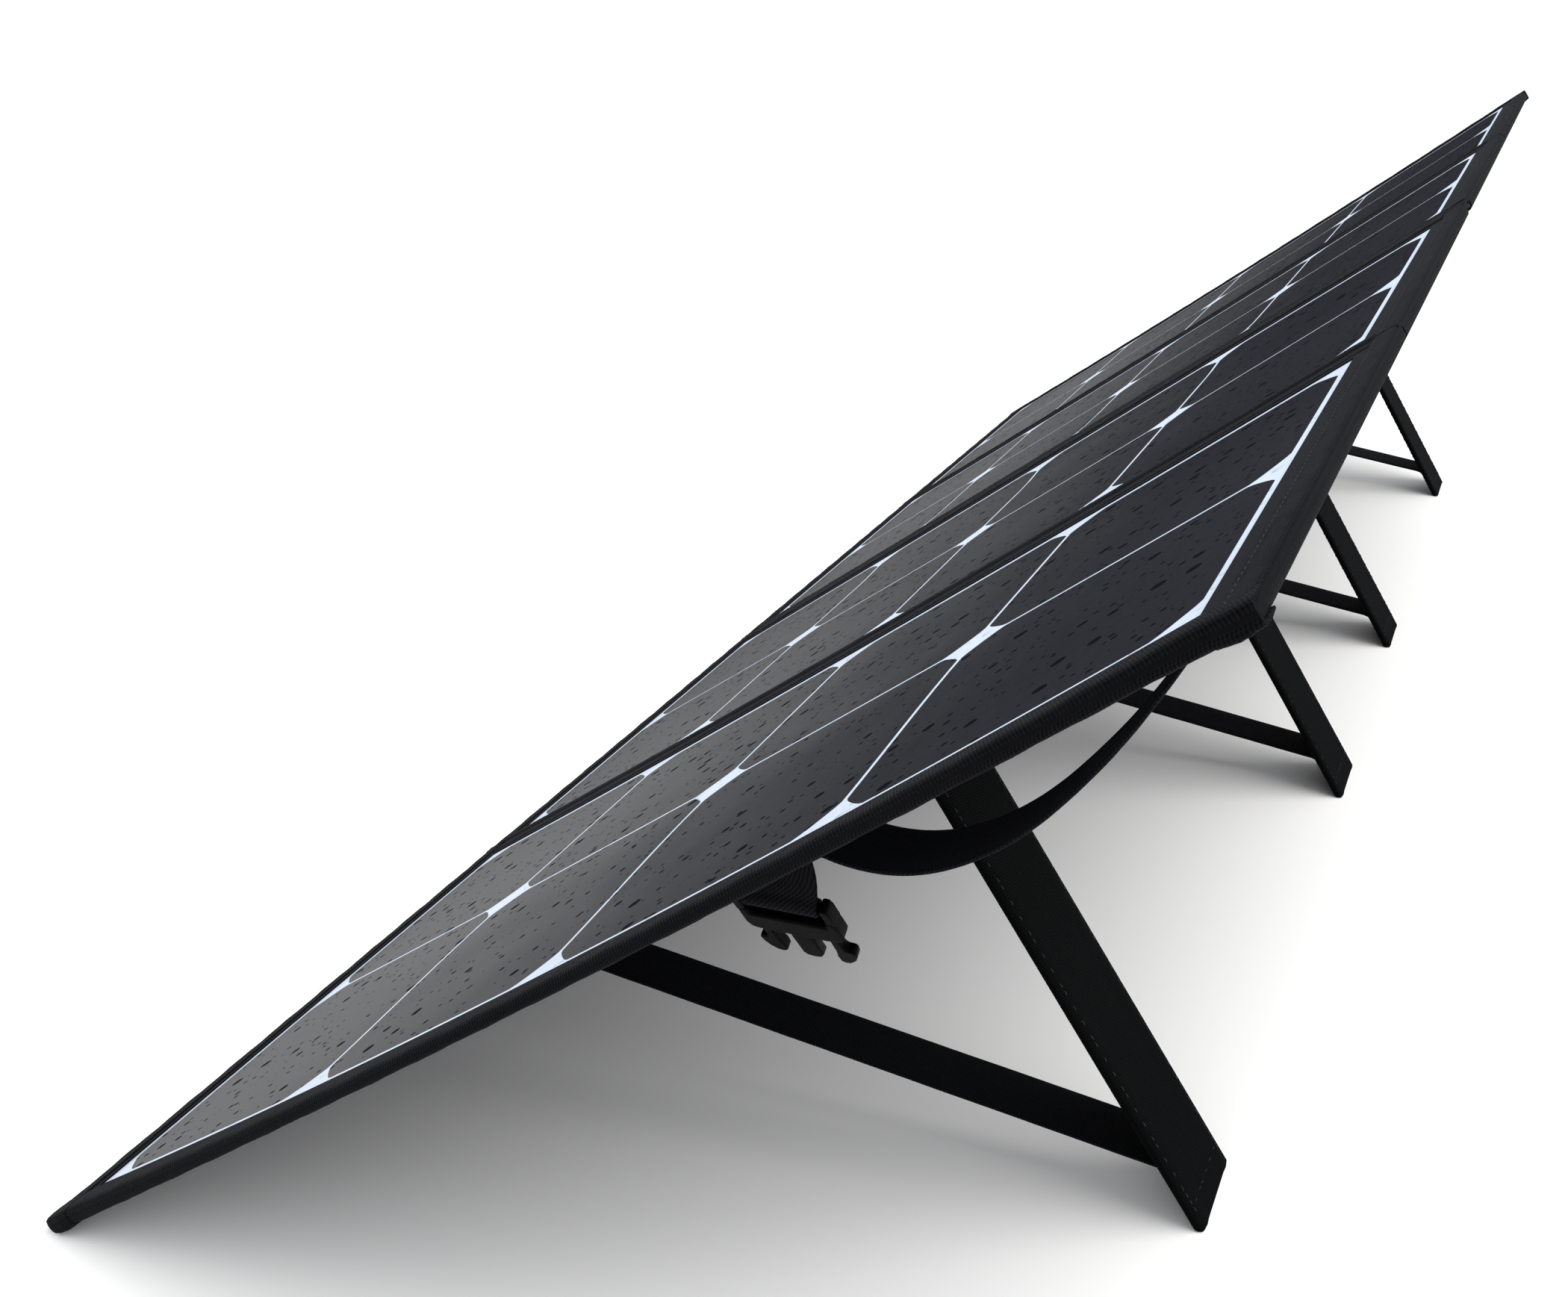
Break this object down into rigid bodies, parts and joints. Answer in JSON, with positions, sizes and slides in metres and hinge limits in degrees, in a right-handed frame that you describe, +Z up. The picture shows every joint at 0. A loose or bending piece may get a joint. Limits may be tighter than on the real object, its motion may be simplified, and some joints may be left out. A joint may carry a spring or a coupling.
{
  "type": "folding solar panel",
  "caption": "Fabric-bound folding solar array opened flat and tipped back on fold-out legs held by limit straps, with a webbing carry handle and a side-release closure buckle.",
  "frame": {"origin": "centre of the bounding box on the ground, under the middle of the opened array", "axes": "+X along the array towards the end with the carry handle, +Y towards the back where the legs stand, +Z up"},
  "size_m": [1.17, 0.4528, 0.3199],
  "materials": {
    "edge_tape": "ribbed polyester tape",
    "fabric": "coated woven polyester",
    "webbing": "woven nylon webbing",
    "backsheet": "white sheet under clear film",
    "cell": "dark textured silicon under film",
    "board": "plain board",
    "leg_bar": "plain stiffener",
    "buckle": "moulded acetal",
    "box": "moulded, fine texture",
    "circuit_board": "circuit board",
    "lead": "flat insulated ribbon"
  },
  "bodies": {
    "panel_1": {"panel_1_board": "board", "panel_1_front_fabric": "fabric", "panel_1_laminate": "backsheet", "panel_1_cells": "cell", "panel_1_back_fabric": "fabric", "panel_1_edge_binding": "edge_tape", "leg_1_hinge_flap": "fabric", "leg_1_limit_strap": "webbing", "carry_handle": "webbing", "closure_webbing_near": "webbing", "hinge_tape_12": "edge_tape", "jumper_lead_12": "lead"},
    "leg_1": {"leg_1_sleeve": "fabric", "leg_1_bar": "leg_bar"},
    "panel_2": {"panel_2_board": "board", "panel_2_front_fabric": "fabric", "panel_2_laminate": "backsheet", "panel_2_cells": "cell", "panel_2_back_fabric": "fabric", "panel_2_edge_binding": "edge_tape", "leg_2_hinge_flap": "fabric", "leg_2_limit_strap": "webbing"},
    "leg_2": {"leg_2_sleeve": "fabric", "leg_2_bar": "leg_bar"},
    "panel_3": {"panel_3_board": "board", "panel_3_front_fabric": "fabric", "panel_3_laminate": "backsheet", "panel_3_cells": "cell", "panel_3_back_fabric": "fabric", "panel_3_edge_binding": "edge_tape", "leg_3_hinge_flap": "fabric", "leg_3_limit_strap": "webbing"},
    "leg_3": {"leg_3_sleeve": "fabric", "leg_3_bar": "leg_bar"},
    "panel_4": {"panel_4_board": "board", "panel_4_front_fabric": "fabric", "panel_4_laminate": "backsheet", "panel_4_cells": "cell", "panel_4_back_fabric": "fabric", "panel_4_edge_binding": "edge_tape", "leg_4_hinge_flap": "fabric", "leg_4_limit_strap": "webbing", "closure_webbing_far": "webbing", "junction_box_case": "box", "junction_box_lid": "box", "junction_box_diodes": "circuit_board", "junction_box_gland": "box", "hinge_tape_34": "edge_tape", "jumper_lead_34": "lead"},
    "leg_4": {"leg_4_sleeve": "fabric", "leg_4_bar": "leg_bar"},
    "spine": {"spine_fabric": "fabric", "hinge_tape_23": "edge_tape", "jumper_lead_23": "lead"},
    "buckle_male": {"buckle_male": "buckle"},
    "buckle_female": {"buckle_female": "buckle"}
  },
  "joints": [
    {"name": "fold_12", "type": "hinge", "parent": "panel_1", "child": "panel_2", "pos_m": [0.296, -0.00218, 0.16306], "axis": [0, 0.8192, 0.5736], "range_deg": [0, 180], "deforming": ["hinge_tape_12", "jumper_lead_12"]},
    {"name": "fold_23_near", "type": "hinge", "parent": "panel_2", "child": "spine", "pos_m": [0.0095, -0.00132, 0.16183], "axis": [0, -0.8192, -0.5736], "range_deg": [0, 90], "deforming": ["hinge_tape_23", "jumper_lead_23"]},
    {"name": "fold_23_far", "type": "hinge", "parent": "spine", "child": "panel_3", "pos_m": [-0.0095, -0.00132, 0.16183], "axis": [0, -0.8192, -0.5736], "range_deg": [0, 90]},
    {"name": "fold_34", "type": "hinge", "parent": "panel_3", "child": "panel_4", "pos_m": [-0.296, -0.00218, 0.16306], "axis": [0, 0.8192, 0.5736], "range_deg": [0, 180], "deforming": ["hinge_tape_34", "jumper_lead_34"]},
    {"name": "leg_1_hinge", "type": "hinge", "parent": "panel_1", "child": "leg_1", "pos_m": [0.421, 0.07056, 0.20214], "axis": [-1, 0, 0], "range_deg": [0, 86], "deforming": ["leg_1_limit_strap"]},
    {"name": "leg_2_hinge", "type": "hinge", "parent": "panel_2", "child": "leg_2", "pos_m": [0.064, 0.07056, 0.20214], "axis": [-1, 0, 0], "range_deg": [0, 86], "deforming": ["leg_2_limit_strap"]},
    {"name": "leg_3_hinge", "type": "hinge", "parent": "panel_3", "child": "leg_3", "pos_m": [-0.156, 0.07056, 0.20214], "axis": [-1, 0, 0], "range_deg": [0, 86], "deforming": ["leg_3_limit_strap"]},
    {"name": "leg_4_hinge", "type": "hinge", "parent": "panel_4", "child": "leg_4", "pos_m": [-0.489, 0.07056, 0.20214], "axis": [-1, 0, 0], "range_deg": [0, 86], "deforming": ["leg_4_limit_strap"]},
    {"name": "buckle_male_swing", "type": "hinge", "parent": "panel_1", "child": "buckle_male", "pos_m": [0.565, 0.08829, 0.20117], "axis": [0, 1, 0], "range_deg": [-35, 25]},
    {"name": "buckle_female_swing", "type": "hinge", "parent": "panel_4", "child": "buckle_female", "pos_m": [-0.565, 0.08749, 0.20232], "axis": [0, 1, 0], "range_deg": [-40, 40]}
  ],
  "couplings": [
    {"joint": "leg_2_hinge", "follows": "fold_23_near", "ratio": 0.9556},
    {"joint": "leg_3_hinge", "follows": "fold_23_far", "ratio": 0.9556}
  ]
}
